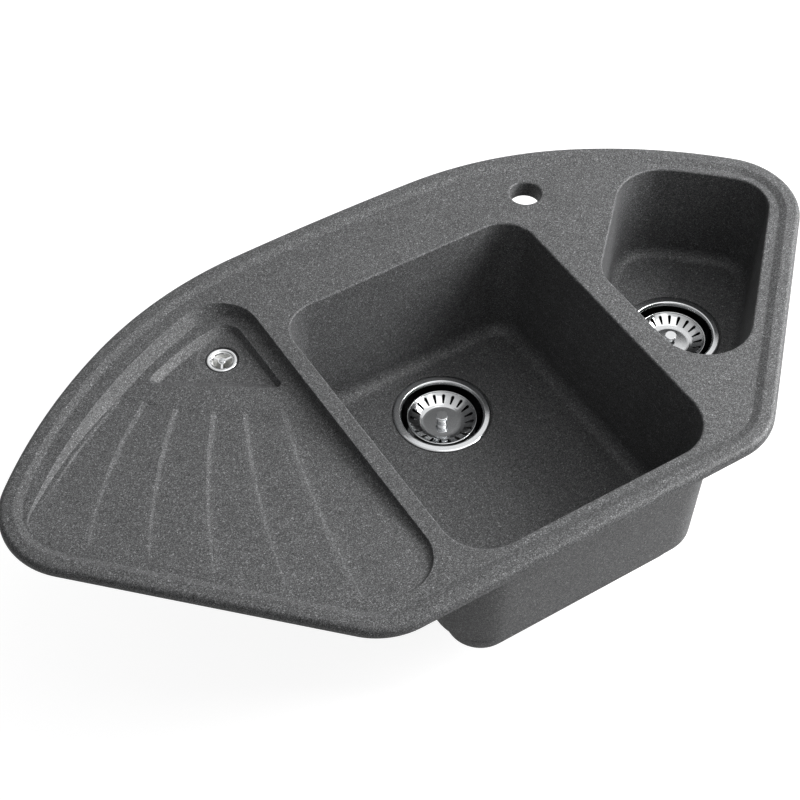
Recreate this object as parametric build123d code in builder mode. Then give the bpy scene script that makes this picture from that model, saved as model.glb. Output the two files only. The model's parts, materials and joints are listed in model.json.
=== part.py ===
from build123d import *
import os
from math import cos, radians, sin, sqrt, tan

# Corner kitchen sink, in millimetres. The origin is on the underside of the rim, at the middle of the
# front edge, +X runs along the front edge, +Y towards the corner of the room and +Z up.

# --- Outline seen from above: tangent arcs and lines, the same left and right of x = 0 ---------------
front_y = -8.0                # outer front edge
back_y = 502.0                # outer back edge, at the middle
back_radius = 3600.0          # nearly flat stretch at the back
back_turn = 1.8               # degrees turned along each half of it
shoulder_radius = 435.0
shoulder_turn = 25.8
flank_radius = 593.0
flank_turn = 18.4
tip_radius = 83.0             # round tip of each wing
tip_turn = 135.0 - back_turn - shoulder_turn - flank_turn
front_corner_radius = 80.0

# --- Levels ------------------------------------------------------------------------------------------
rim_top = 10.0
deck_top = 6.5
deck_bottom = -3.0
seat_width = 16.0             # flat underside of the rim, which rests on the worktop
rim_bevel = 6.4               # rounding of the rim's outer edge
rim_crest = 15.5              # distance inward at which the rim's flat top ends
rim_slope_foot = 23.5         # distance inward at which its inner slope meets the deck
wall = 8.5                    # thickness of bowl and tray walls
shared_wall = 16.5            # thickness of the main bowl's wall towards the small bowl

# --- Main bowl: a rounded rectangle at deck level ----------------------------------------------------
main_left, main_right = -116.0, 185.0
main_front, main_back = 25.0, 395.0
main_front_corner, main_back_corner = 48.0, 38.0
main_floor = -157.5
main_drain = (38.5, 308.0)
bowl_draft = 2.5              # degrees
main_floor_fillet, main_outer_fillet = 16.0, 24.0
small_floor_fillet, small_outer_fillet = 14.0, 20.0
bowl_lip = 2.5                # rounding where the bowls meet the deck
floor_thickness = 8.0
foot_left, foot_right = -111.0, 166.0     # pad cast on the underside of the main bowl
foot_front, foot_back = 23.9, 392.0
foot_corner = 36.0
foot_height = 9.0
foot_neck_top = -130.0
foot_neck_inset = 8.0

# --- Small bowl: two upright sides, two at 45 degrees and one along the sink's outline ----------------
small_left = 215.0
small_inner_offset = 57.0     # the 45 degree side is y = x + 57
small_outer_offset = -180.5   # and the one along the front is y = x - 180.5
small_back_centre = (29.0, -69.0)
small_back_radius = 554.0
small_corners = {"front": 52.0, "left": 40.0, "back": 55.0, "tip": 43.0}
small_floor = -120.0
small_drain = (309.0, 244.5)

# --- Drainer tray: its floor falls from the front left diagonal to a level stretch by the drain -------
tray_right = -134.5
tray_front = 28.0
tray_back_centre = (-8.1, -129.0)
tray_back_radius = 609.3
tray_front_corner, tray_back_corner = 45.0, 45.0
tray_depth = 15.0
tray_run = 200.0              # distance over which the floor reaches that depth
tray_diagonal = -186.6        # the floor leaves deck level along x + y = this
tray_right_draft = 2.2        # how far in the right wall's foot stands
tray_back_draft = 8.0
pocket_floor = deck_top - 24.0
pocket_corners = [(-272.0, 399.5), (-151.5, 434.0), (-150.0, 317.0)]     # left, top and right
pocket_back_radius = 320.0    # of its upper left side
pocket_top_rounding, pocket_rounding = 18.0, 9.0
pocket_draft = 38.0           # degrees
tray_drain = (-184.0, 394.5)

# --- Flutes of the drainer: each line runs from its upper end by the drain to its lower end -----------
flute_lines = [
    ((-280.7, 380.4), (-354.0, 311.0), (-412.0, 233.0)),
    ((-257.4, 357.2), (-318.5, 277.0), (-370.0, 189.0)),
    ((-227.0, 332.9), (-281.0, 242.0), (-325.0, 145.0)),
    ((-201.8, 314.7), (-244.0, 208.0), (-275.0, 96.0)),
    ((-166.4, 301.5), (-200.0, 175.0), (-222.0, 43.0)),
]
flute_depths = (2.4, 1.9, 0.8)   # step beside the line at its upper end, middle and lower end
flute_step = 4.0                 # width of the step
flute_overlap = 0.4              # how far a flute's hollow starts above the tray's floor

tray_edge_line = ((-141.0, 277.0), (-142.0, 118.0), (-172.0, 37.0))   # where the last flute runs out

# --- Tap hole ----------------------------------------------------------------------------------------
tap_hole = (216.5, 417.0)
tap_hole_radius = 17.5
tap_hole_lip = 3.0
tap_boss_radius = 27.0
tap_boss_bottom = -14.0       # the casting is thicker round the hole, for the tap's nut

# --- Groove for the rim seal ---------------------------------------------------------------------------
groove_inset = 2.0
groove_width = 4.0
groove_depth = 1.5

# --- Drainer waste -------------------------------------------------------------------------------------
tray_seat_radius = 18.0
tray_seat_depth = 2.5
tray_hole_radius = 12.5
grate_radius = 16.2
grate_spokes = 3
tray_screw_radius = 1.95
tray_insert_radius = 3.2
tray_spigot_end = -72.0

# --- Basket wastes: radii, and heights measured from the bowl's floor ---------------------------------
drain_hole_radius = 47.5
flange_radius = 55.5
flange_seat_radius = 57.0
flange_seat_depth = 2.0
cup_screw_hole = 3.2
basket_rim_radius = 38.9
basket_bead = 0.9
basket_rim_height = -7.1
basket_floor_height = -15.0
slot_count = 20
knob_radius = 7.05
knob_top = -3.4
stem_radius = 5.8
post_radius = 4.0
stopper_radius = 31.0
stopper_bottom = -40.7
sieve_height = -48.0
outlet_radius = 23.9          # male thread, one and a half inch
outlet_bore = 20.0
outlet_end = -92.0
hub_radius = 8.0
hub_bottom = -66.0
rib_reach = 26.0
waste_insert_radius = 4.5
waste_insert_length = 12.0
spigot_height = -41.0         # of the main bowl's waste, for the drainer's hose
spigot_root = 48.5            # where it starts inside the wall of the waste body
spigot_length = 30.0
collar_radius = 11.9          # where the spigot meets the waste body
collar_length = 3.0
screw_radius = 2.95
spigot_radius = 10.0          # for a 20 mm hose
spigot_bore = 7.5

# --- Mounting clips: (x, y, outward direction in degrees) of each pivot -------------------------------
clip_places = [
    (-20.0, 478.0, 90.0),
    (-252.0, 444.1, 112.0),
    (-389.6, 360.7, 130.0),
    (-277.4, 93.6, 225.0),
    (-165.0, 24.0, 270.0),
    (266.6, 74.4, 315.0),
    (319.2, 413.1, 59.0),
    (149.5, 473.3, 83.0),
]
boss_radius = 6.0
boss_bottom = -26.0
insert_radius = 4.0
insert_length = 10.0
clip_top = -33.0
clip_sheet = 2.0
clip_width = 12.0
clip_reach = 24.0
clip_screw_radius = 2.5
clip_hole_radius = 2.55
clip_jaw = 5.0
screw_head_radius = 4.6
screw_head_height = 3.4
clip_screw_length = 17.0


def finish(piece, name):
    """Labels a finished piece and writes it."""
    piece.label = name
    export_step(piece, f"parts/{name}.step")


def floor_of_tray():
    """The plane of the drainer's sloping floor, and of the shell's underside when offset."""
    slope = tray_depth / tray_run
    on_diagonal = tray_diagonal / 2
    return Plane(origin=(on_diagonal, on_diagonal, deck_top), x_dir=(1, -1, 0), z_dir=(slope, slope, sqrt(2)))


def tray_floor_height(x, y):
    """Height of the drainer's floor at a point, before the flutes are cut."""
    run = (x + y - tray_diagonal) / sqrt(2)
    return deck_top - min(tray_depth, max(0.0, run) * tray_depth / tray_run)


os.makedirs("parts", exist_ok=True)

upright = (Align.CENTER, Align.CENTER, Align.MIN)

# === Plans ===========================================================================================
with BuildSketch() as sink_plan:
    with BuildLine():
        back = JernArc((0, back_y), (1, 0), back_radius, -back_turn)
        shoulder = JernArc(back @ 1, back % 1, shoulder_radius, -shoulder_turn)
        flank = JernArc(shoulder @ 1, shoulder % 1, flank_radius, -flank_turn)
        tip = JernArc(flank @ 1, flank % 1, tip_radius, -tip_turn)
        corner_x = (tip @ 1).X - ((tip @ 1).Y - front_y)
        corner_run = front_corner_radius * tan(radians(22.5)) * sin(radians(45))
        diagonal = Line(tip @ 1, (corner_x + corner_run, front_y + corner_run))
        front_corner = JernArc(diagonal @ 1, diagonal % 1, front_corner_radius, -45)
        Line(front_corner @ 1, (0, front_y))
        mirror(about=Plane.YZ)
    make_face()


def main_plan(growth, right_growth):
    """Outline of the main bowl at deck level, or of its walls, grown on the right and on the other three sides."""
    left, right = main_left - growth, main_right + right_growth
    front, back = main_front - growth, main_back + growth
    with BuildSketch() as rectangle:
        with Locations(((left + right) / 2, (front + back) / 2)):
            Rectangle(right - left, back - front)
        fillet(rectangle.vertices().group_by(Axis.Y)[-1], main_back_corner + growth)
        fillet(rectangle.vertices().group_by(Axis.Y)[0], main_front_corner + growth)
    return rectangle.sketch


def circle_meets_diagonal(centre, radius, offset):
    """The right-hand point where a circle meets the line y = x + offset."""
    shift = centre[1] - offset
    middle = (centre[0] + shift) / 2
    x = middle + sqrt(middle**2 - (centre[0] ** 2 + shift**2 - radius**2) / 2)
    return (x, x + offset)


small_back_left = circle_meets_diagonal(small_back_centre, small_back_radius, small_inner_offset)
small_tip = circle_meets_diagonal(small_back_centre, small_back_radius, small_outer_offset)
with BuildSketch() as small_plan:
    with BuildLine():
        Polyline(
            small_tip,
            (small_left, small_left + small_outer_offset),
            (small_left, small_left + small_inner_offset),
            small_back_left,
        )
        RadiusArc(small_back_left, small_tip, small_back_radius)
    make_face()
    corners = small_plan.vertices()
    fillet(corners.sort_by(Axis.X)[-1], small_corners["tip"])
    fillet(small_plan.vertices().sort_by(Axis.Y)[-1], small_corners["back"])
    fillet(small_plan.vertices().sort_by(Axis.Y)[0], small_corners["front"])
    fillet(small_plan.vertices().group_by(Axis.X)[0].sort_by(Axis.Y)[-1], small_corners["left"])


def tray_plan(right, back_radius, front, corner_change):
    """Outline of the drainer tray between its right edge, its round back edge and the diagonal."""
    beyond = tray_diagonal - 12.0
    across = back_radius**2 - (right - tray_back_centre[0]) ** 2
    back_right = (right, tray_back_centre[1] + sqrt(across))
    gap = (tray_back_centre[0] + tray_back_centre[1] - beyond) / sqrt(2)
    along = sqrt(back_radius**2 - gap**2)
    tip_end = (
        tray_back_centre[0] - gap / sqrt(2) - along / sqrt(2),
        tray_back_centre[1] - gap / sqrt(2) + along / sqrt(2),
    )
    with BuildSketch() as tray:
        with BuildLine():
            Polyline(tip_end, (beyond - front, front), (right, front), back_right)
            RadiusArc(back_right, tip_end, -back_radius)
        make_face()
        fillet(tray.vertices().sort_by(Axis.Y)[-1], tray_back_corner + corner_change)
        fillet(tray.vertices().group_by(Axis.Y)[0].sort_by(Axis.X)[-1], tray_front_corner + corner_change)
    return tray.sketch


with BuildSketch() as pocket_plan:
    with BuildLine():
        left_corner, top_corner, right_corner = pocket_corners
        RadiusArc(left_corner, top_corner, pocket_back_radius)
        Line(top_corner, right_corner)
        Line(right_corner, left_corner)
    make_face()
    corners = pocket_plan.vertices().sort_by(Axis.Y)
    fillet(corners[-1], pocket_top_rounding)
    fillet(corners[:2], pocket_rounding)

# What hangs below the rim stays inside its flat underside.
with BuildSketch() as below_rim_plan:
    add(sink_plan.sketch)
    offset(amount=-seat_width)

with BuildSketch() as seal_plan:
    with BuildSketch(mode=Mode.PRIVATE) as seal_inside:
        add(sink_plan.sketch)
        offset(amount=-groove_inset - groove_width)
    add(sink_plan.sketch)
    offset(amount=-groove_inset)
    add(seal_inside.sketch, mode=Mode.SUBTRACT)

# === Sink body =======================================================================================
# Hollows, each made as a solid of the space it leaves.
with BuildPart() as main_hollow:
    with BuildSketch(Plane.XY.offset(deck_top)):
        add(main_plan(0, 0))
    extrude(amount=main_floor - deck_top, taper=bowl_draft)
    fillet(main_hollow.faces().sort_by(Axis.Z)[0].edges(), main_floor_fillet)

with BuildPart() as small_hollow:
    with BuildSketch(Plane.XY.offset(deck_top)):
        add(small_plan.sketch)
    extrude(amount=small_floor - deck_top, taper=bowl_draft)
    fillet(small_hollow.faces().sort_by(Axis.Z)[0].edges(), small_floor_fillet)

with BuildPart() as tray_hollow:
    with BuildSketch(Plane.XY.offset(deck_top)):
        add(tray_plan(tray_right, tray_back_radius, tray_front, 0))
    with BuildSketch(Plane.XY.offset(deck_top - tray_depth)):
        add(tray_plan(tray_right - tray_right_draft, tray_back_radius - tray_back_draft, tray_front + 2, -5))
    loft(ruled=True)
    split(bisect_by=floor_of_tray(), keep=Keep.TOP)

with BuildPart() as pocket_hollow:
    with BuildSketch(Plane.XY.offset(deck_top - tray_depth)):
        add(pocket_plan.sketch)
    extrude(amount=pocket_floor - deck_top + tray_depth, taper=pocket_draft)
    extrude(pocket_hollow.faces().sort_by(Axis.Z)[-1], amount=1)

flute_hollows = []
for line, neighbour in zip(flute_lines, flute_lines[1:] + [tray_edge_line]):
    with BuildPart() as flute:
        for crest, far, depth in zip(line, neighbour, flute_depths):
            across = Vector(far[0] - crest[0], far[1] - crest[1])
            step_foot = Vector(*crest) + across.normalized() * flute_step
            section = Plane(origin=(*crest, 0), x_dir=across, z_dir=across.cross(Vector(0, 0, 1)))
            with BuildSketch(section):
                with BuildLine():
                    Polyline(
                        (0, tray_floor_height(*crest) + flute_overlap),
                        (flute_step, tray_floor_height(step_foot.X, step_foot.Y) - depth),
                        (across.length, tray_floor_height(*far)),
                        (across.length, tray_floor_height(*far) + flute_overlap),
                        close=True,
                    )
                make_face()
        loft()
    flute_hollows.append(flute.part)

with BuildPart() as rim_hollow:
    with BuildSketch(Plane.XY.offset(rim_top)):
        add(sink_plan.sketch)
        offset(amount=-rim_crest)
    with BuildSketch(Plane.XY.offset(deck_top)):
        add(sink_plan.sketch)
        offset(amount=-rim_slope_foot)
    loft(ruled=True)

# Outer forms below the deck.
with BuildPart() as main_shell:
    with BuildSketch(Plane.XY.offset(deck_bottom + 1)):
        add(main_plan(wall, shared_wall))
    extrude(amount=main_floor - floor_thickness + 2.5 - deck_bottom - 1, taper=bowl_draft)
    fillet(main_shell.faces().sort_by(Axis.Z)[0].edges(), main_outer_fillet)

# The foot pad stands in under the wall, which comes straight down to it on all sides but the right.
with BuildPart() as foot_pad:
    with BuildSketch(Plane.XY.offset(main_floor - floor_thickness)):
        with Locations(((foot_left + foot_right) / 2, (foot_front + foot_back) / 2)):
            RectangleRounded(foot_right - foot_left, foot_back - foot_front, foot_corner)
    extrude(amount=foot_height)
    wall_inset = (deck_bottom + 1 - foot_neck_top) * tan(radians(bowl_draft)) - wall
    neck_left = main_left + wall_inset
    neck_front = main_front + wall_inset
    neck_back = main_back - wall_inset
    neck_right = foot_right - foot_neck_inset
    with BuildSketch(Plane.XY.offset(foot_neck_top)):
        with Locations(((neck_left + neck_right) / 2, (neck_front + neck_back) / 2)):
            RectangleRounded(neck_right - neck_left, neck_back - neck_front, main_front_corner - wall_inset)
    extrude(amount=main_floor - foot_neck_top, taper=bowl_draft)

with BuildPart() as small_shell:
    with BuildSketch(Plane.XY.offset(deck_bottom + 1)):
        add(small_plan.sketch)
        offset(amount=wall)
    extrude(amount=small_floor - floor_thickness - deck_bottom - 1, taper=bowl_draft)
    fillet(small_shell.faces().sort_by(Axis.Z)[0].edges(), small_outer_fillet)

with BuildPart() as tray_shell:
    with BuildSketch(Plane.XY.offset(deck_bottom + 1)):
        add(tray_plan(tray_right, tray_back_radius, tray_front, 0))
        offset(amount=wall + 2)
        add(below_rim_plan.sketch, mode=Mode.INTERSECT)
    extrude(amount=deck_top - tray_depth - wall - deck_bottom - 1)
    split(bisect_by=floor_of_tray().offset(-wall), keep=Keep.TOP)

with BuildPart() as pocket_shell:
    with BuildSketch(Plane.XY.offset(deck_bottom)):
        add(pocket_plan.sketch)
        offset(amount=5)
    extrude(amount=pocket_floor - floor_thickness - deck_bottom)

with BuildPart() as sink_body:
    with BuildSketch(Plane.XY):
        add(sink_plan.sketch)
    extrude(amount=rim_top)
    fillet(sink_body.faces().sort_by(Axis.Z)[-1].edges(), rim_bevel)
    with BuildSketch(Plane.XY.offset(deck_bottom)):
        add(below_rim_plan.sketch)
    extrude(amount=deck_top - deck_bottom)
    add(main_shell.part)
    add(foot_pad.part)
    add(small_shell.part)
    add(tray_shell.part)
    add(pocket_shell.part)
    with BuildSketch(Plane.XY.offset(boss_bottom)):
        with Locations(*[(x, y) for x, y, _ in clip_places]):
            Circle(boss_radius)
    extrude(amount=deck_bottom - boss_bottom + 2)
    with Locations((*tap_hole, tap_boss_bottom)):
        Cylinder(tap_boss_radius, deck_bottom - tap_boss_bottom + 1, align=upright)
    add(rim_hollow.part, mode=Mode.SUBTRACT)
    add(main_hollow.part, mode=Mode.SUBTRACT)
    add(small_hollow.part, mode=Mode.SUBTRACT)
    add(tray_hollow.part, mode=Mode.SUBTRACT)
    add(pocket_hollow.part, mode=Mode.SUBTRACT)
    for flute_hollow in flute_hollows:
        add(flute_hollow, mode=Mode.SUBTRACT)
    # Holes for the wastes and the tap, and the seats round them.
    for drain, floor in ((main_drain, main_floor), (small_drain, small_floor)):
        with Locations((*drain, floor - flange_seat_depth)):
            Cylinder(flange_seat_radius, flange_seat_depth + 1, align=upright, mode=Mode.SUBTRACT)
            Cylinder(drain_hole_radius, 4 * floor_thickness, mode=Mode.SUBTRACT)
    with Locations((*tray_drain, pocket_floor - tray_seat_depth)):
        Cylinder(tray_seat_radius, tray_seat_depth + 1, align=upright, mode=Mode.SUBTRACT)
        Cylinder(tray_hole_radius, 4 * floor_thickness, mode=Mode.SUBTRACT)
    with Locations((*tap_hole, 0)):
        Cylinder(tap_hole_radius, 4 * rim_top, mode=Mode.SUBTRACT)
    # Groove for the rim seal, and blind holes for the clips' inserts.
    with BuildSketch():
        add(seal_plan.sketch)
    extrude(amount=groove_depth, mode=Mode.SUBTRACT)
    with BuildSketch(Plane.XY.offset(boss_bottom)):
        with Locations(*[(x, y) for x, y, _ in clip_places]):
            Circle(insert_radius)
    extrude(amount=insert_length, mode=Mode.SUBTRACT)
    # Rounded lips of the two bowls and of the tap hole.
    deck_faces = sink_body.faces().filter_by(lambda face: abs(face.center().Z - deck_top) < 0.01)
    deck = deck_faces.sort_by(SortBy.AREA)[-1]
    lips = [wire for wire in deck.inner_wires() if wire.bounding_box().center().X > 0]
    lips = ShapeList(lips).sort_by(lambda wire: wire.length)
    fillet(lips[0].edges(), tap_hole_lip)
    fillet(lips[1].edges() + lips[2].edges(), bowl_lip)
finish(sink_body.part, "sink_body")

with BuildPart() as rim_seal:
    with BuildSketch():
        add(seal_plan.sketch)
    extrude(amount=groove_depth)
finish(rim_seal.part, "rim_seal")


# === Turned pieces ===================================================================================
def turned(centre, level, outline):
    """A solid of revolution about an upright axis, from (radius, height) points above a level."""
    section = Plane(origin=(*centre, level), x_dir=(1, 0, 0), z_dir=(0, -1, 0))
    with BuildPart() as piece:
        with BuildSketch(section):
            with BuildLine():
                Polyline(*outline, close=True)
            make_face()
        revolve(axis=Axis((*centre, level), (0, 0, 1)))
    return piece.part


def ring(centre, level, inner, outer, bottom, top):
    """A flat ring between two heights above a level."""
    return turned(centre, level, [(inner, bottom), (outer, bottom), (outer, top), (inner, top)])


# === Basket wastes ===================================================================================
def basket_waste(bowl, centre, floor, with_spigot):
    """All pieces of one basket waste, from its cup and its basket to the plastic body below the bowl."""
    # Pressed steel cup: a flange on the bowl's floor, a slightly conical wall and a sieve at its foot.
    with BuildPart() as strainer_cup:
        add(turned(centre, floor, [
            (flange_radius, -1.0), (flange_radius, -0.2), (54.6, 0.5), (48.8, 0.6), (47.2, 0.2), (46.2, -1.0),
            (45.9, -3.0), (44.0, -34.0), (42.6, -38.0), (39.5, -40.6), (36.5, -41.0), (26.5, -41.0),
            (24.8, -41.8), (24.0, -43.6), (23.5, -46.8), (22.3, sieve_height), (cup_screw_hole, sieve_height),
            (cup_screw_hole, sieve_height - 1), (22.8, sieve_height - 1), (24.4, -47.4), (25.0, -43.8),
            (25.6, -42.6), (26.8, -42.0), (36.8, -42.0), (40.2, -41.5), (43.5, -38.6), (45.0, -34.2),
            (46.9, -3.0), (47.3, -1.0),
        ]))
        with BuildSketch(Plane(origin=(*centre, floor + sieve_height + 1))):
            with PolarLocations(10.5, 6):
                Circle(2.3)
            with PolarLocations(17.5, 12):
                Circle(2.5)
        extrude(amount=-3, mode=Mode.SUBTRACT)
    finish(strainer_cup.part, f"{bowl}_strainer_cup")

    finish(ring(centre, floor, 48.0, 54.5, -flange_seat_depth, -1.0), f"{bowl}_cup_seal")
    finish(ring(centre, floor, 48.5, 56.5, -floor_thickness - 2, -floor_thickness), f"{bowl}_body_seal")

    # Plastic body: a collar under the seal, a chamber, a ribbed hub for the screw and a threaded outlet.
    with BuildPart() as waste_body:
        add(turned(centre, floor, [
            (57.0, -10.0), (57.0, -14.0), (50.2, -16.0), (50.2, -53.0), (27.0, -67.0), (27.0, -71.0),
            (outlet_radius, -71.0), (outlet_radius, outlet_end + 1), (outlet_radius - 1, outlet_end),
            (outlet_bore, outlet_end), (outlet_bore, -67.5), (47.2, -51.0), (47.2, -10.0),
        ]))
        with Locations((*centre, floor + hub_bottom)):
            Cylinder(hub_radius, sieve_height - 1 - hub_bottom, align=upright)
        with BuildSketch(Plane(origin=(*centre, floor + hub_bottom))):
            Rectangle(2 * rib_reach, 2.5, rotation=45)
            Rectangle(2 * rib_reach, 2.5, rotation=135)
        extrude(amount=8)
        if with_spigot:
            root = (centre[0] - spigot_root, centre[1], floor + spigot_height)
            spigot_start = Plane(origin=root, z_dir=(-1, 0, 0))
            with BuildSketch(spigot_start):
                Circle(spigot_radius)
            extrude(amount=spigot_length)
            with BuildSketch(spigot_start):
                Circle(collar_radius)
            extrude(amount=collar_length)
            with BuildSketch(spigot_start.offset(-2.5)):
                Circle(spigot_bore)
            extrude(amount=spigot_length + 6, mode=Mode.SUBTRACT)
        with Locations((*centre, floor + hub_bottom)):
            Cylinder(cup_screw_hole, 3 * hub_radius, align=upright, mode=Mode.SUBTRACT)
            Cylinder(waste_insert_radius, waste_insert_length, align=upright, mode=Mode.SUBTRACT)
    finish(waste_body.part, f"{bowl}_waste_body")

    finish(ring(centre, floor + hub_bottom, screw_radius + 0.05, waste_insert_radius, 0, waste_insert_length),
           f"{bowl}_screw_insert")

    with BuildPart() as fixing_screw:
        add(turned(centre, floor, [
            (0, -68.0), (screw_radius - 0.6, -68.0), (screw_radius, -67.2), (screw_radius, sieve_height),
            (6.2, sieve_height), (6.2, -46.6), (4.6, -45.4), (0, -45.1),
        ]))
        with BuildSketch(Plane(origin=(*centre, floor - 45.0))):
            Rectangle(13, 1.4)
        extrude(amount=-1.6, mode=Mode.SUBTRACT)
    finish(fixing_screw.part, f"{bowl}_fixing_screw")

    # Lift-out basket: a rolled rim, a slotted dish and a flat floor round the post.
    with BuildPart() as basket:
        add(turned(centre, floor, [
            (post_radius + 0.05, basket_floor_height), (22.4, basket_floor_height), (23.4, -14.6),
            (25.0, -14.4), (29.5, -12.6), (34.5, -10.1), (38.4, -7.2),
            (39.0, -7.8), (35.0, -10.9), (30.0, -13.4), (25.2, -15.2),
            (22.6, -15.8), (post_radius + 0.05, -15.8),
        ]))
        with BuildSketch(Plane(origin=(centre[0], centre[1], floor), x_dir=(1, 0, 0), z_dir=(0, -1, 0))):
            with Locations((basket_rim_radius, basket_rim_height)):
                Circle(basket_bead)
        revolve(axis=Axis((*centre, floor), (0, 0, 1)))
        with BuildSketch(Plane(origin=(*centre, floor - 6))):
            with PolarLocations(0, slot_count):
                Polygon((26.4, -0.5), (36.4, -1.7), (36.4, 1.7), (26.4, 0.5), align=None)
        extrude(amount=-12, mode=Mode.SUBTRACT)
    finish(basket.part, f"{bowl}_basket")

    with BuildPart() as basket_post:
        add(turned(centre, floor, [
            (0, knob_top), (knob_radius - 0.7, knob_top), (knob_radius, knob_top - 0.7),
            (knob_radius, knob_top - 1.7), (knob_radius - 0.6, knob_top - 2.3), (stem_radius, knob_top - 2.6),
            (stem_radius - 0.5, -10.0), (stem_radius, basket_floor_height + 0.05),
            (post_radius, basket_floor_height + 0.05), (post_radius, -37.2), (2.4, -37.2),
            (2.4, -44.2), (0, -44.2),
        ]))
    finish(basket_post.part, f"{bowl}_basket_post")

    finish(turned(centre, floor, [
        (post_radius, -37.2), (8.0, -37.2), (8.0, -36.0), (6.2, -34.5), (6.2, -15.85), (post_radius, -15.85),
    ]), f"{bowl}_post_spacer")

    finish(turned(centre, floor, [
        (2.4, stopper_bottom), (6.0, stopper_bottom), (24.0, stopper_bottom - 0.6),
        (26.0, stopper_bottom + 0.2), (stopper_radius - 0.5, stopper_bottom),
        (stopper_radius, stopper_bottom + 0.7),
        (stopper_radius - 1.2, -38.6), (22.0, -37.2), (2.4, -37.2),
    ]), f"{bowl}_basket_stopper")

    with BuildPart() as stopper_nut:
        with BuildSketch(Plane(origin=(*centre, floor + stopper_bottom))):
            RegularPolygon(4.6, 6)
            Circle(2.4, mode=Mode.SUBTRACT)
        extrude(amount=-3.0)
    finish(stopper_nut.part, f"{bowl}_stopper_nut")


basket_waste("main", main_drain, main_floor, True)
basket_waste("small", small_drain, small_floor, False)

# === Drainer waste ===================================================================================
with BuildPart() as drainer_grate:
    add(turned(tray_drain, pocket_floor, [
        (grate_radius, -1.7), (grate_radius, -0.5), (15.4, 0.1), (13.8, 0.2), (12.9, -0.4), (12.3, -1.2),
        (11.2, -1.6), (10.8, -3.0), (12.1, -3.4), (12.1, -1.7),
    ]))
    with Locations((*tray_drain, pocket_floor - 3.4)):
        Cylinder(4.3, 1.6, align=upright)
    with BuildSketch(Plane(origin=(*tray_drain, pocket_floor - 3.2))):
        with PolarLocations(0, grate_spokes):
            Rectangle(11.6, 2.4, align=(Align.MIN, Align.CENTER))
    extrude(amount=1.0)
    with Locations((*tray_drain, pocket_floor - 4)):
        Cylinder(tray_screw_radius + 0.1, 4, align=upright, mode=Mode.SUBTRACT)
finish(drainer_grate.part, "drainer_grate")

with BuildPart() as grate_screw:
    add(turned(tray_drain, pocket_floor, [
        (0, -30.0), (tray_screw_radius, -30.0), (tray_screw_radius, -1.8),
        (3.4, -1.8), (3.0, -0.7), (0, -0.2),
    ]))
    with BuildSketch(Plane(origin=(*tray_drain, pocket_floor))):
        Rectangle(8, 1.0)
    extrude(amount=-1.2, mode=Mode.SUBTRACT)
finish(grate_screw.part, "grate_screw")

finish(ring(tray_drain, pocket_floor, 12.8, 17.2, -tray_seat_depth, -1.7), "grate_seal")
seal_top = -floor_thickness
finish(ring(tray_drain, pocket_floor, 14.0, 18.4, seal_top - 2, seal_top), "drainer_body_seal")

with BuildPart() as drainer_waste_body:
    add(turned(tray_drain, pocket_floor, [
        (12.0, -3.6), (12.0, -10.0), (19.0, -10.0), (19.0, -13.5), (13.5, -15.0), (13.5, -30.0),
        (spigot_radius, -36.0), (spigot_radius, tray_spigot_end + 1.5),
        (spigot_radius - 0.8, tray_spigot_end), (spigot_bore, tray_spigot_end), (spigot_bore, -36.0),
        (8.6, -33.0), (8.6, -7.0), (11.2, -3.6),
    ]))
    with Locations((*tray_drain, pocket_floor - 32)):
        Cylinder(4.6, 12, align=upright)
    with BuildSketch(Plane(origin=(*tray_drain, pocket_floor - 31))):
        for angle in (30, 90, 150):
            Rectangle(18.4, 1.6, rotation=angle)
    extrude(amount=9)
    with Locations((*tray_drain, pocket_floor - 32)):
        Cylinder(tray_insert_radius, 12, align=upright, mode=Mode.SUBTRACT)
finish(drainer_waste_body.part, "drainer_waste_body")

insert_bore = tray_screw_radius + 0.05
finish(ring(tray_drain, pocket_floor - 32, insert_bore, tray_insert_radius, 0, 12), "drainer_insert")

# === Mounting clips ==================================================================================
# Each clip lies along the rim at rest, and swings out under the worktop on its screw.
def clip_plane(x, y, outward, level):
    """A level plane at a clip's pivot, with its X along the clip at rest."""
    heading = radians(outward - 90)
    return Plane(origin=(x, y, level), x_dir=(cos(heading), sin(heading), 0))


for number, place in enumerate(clip_places, start=1):
    with BuildPart() as clip:
        with BuildSketch(clip_plane(*place, clip_top)):
            Circle(clip_width / 2)
            Rectangle(clip_reach, clip_width, align=(Align.MIN, Align.CENTER))
            Circle(clip_hole_radius, mode=Mode.SUBTRACT)
        extrude(amount=-clip_sheet)
        with BuildSketch(clip_plane(*place, clip_top)):
            with Locations((clip_reach, 0)):
                Rectangle(clip_sheet, clip_width, align=(Align.MAX, Align.CENTER))
        extrude(amount=clip_jaw)
    finish(clip.part, f"clip_{number}")

with BuildPart() as clip_screws:
    for x, y, outward in clip_places:
        add(turned((x, y), clip_top - clip_sheet, [
            (0, -0.1 - screw_head_height), (screw_head_radius - 0.8, -0.1 - screw_head_height),
            (screw_head_radius, 0.7 - screw_head_height), (screw_head_radius, -0.1),
            (clip_screw_radius, -0.1), (clip_screw_radius, clip_screw_length), (0, clip_screw_length),
        ]))
        with BuildSketch(clip_plane(x, y, outward, clip_top - clip_sheet - 0.1 - screw_head_height)):
            RegularPolygon(2.3, 6)
        extrude(amount=2, mode=Mode.SUBTRACT)
finish(clip_screws.part, "clip_screws")

with BuildPart() as clip_inserts:
    for x, y, outward in clip_places:
        add(ring((x, y), boss_bottom, clip_screw_radius + 0.05, insert_radius, 0, insert_length))
finish(clip_inserts.part, "clip_inserts")
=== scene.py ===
import json
import math

import bmesh
import bpy
import numpy as np
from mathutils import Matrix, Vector
from mathutils.geometry import delaunay_2d_cdt


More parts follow.
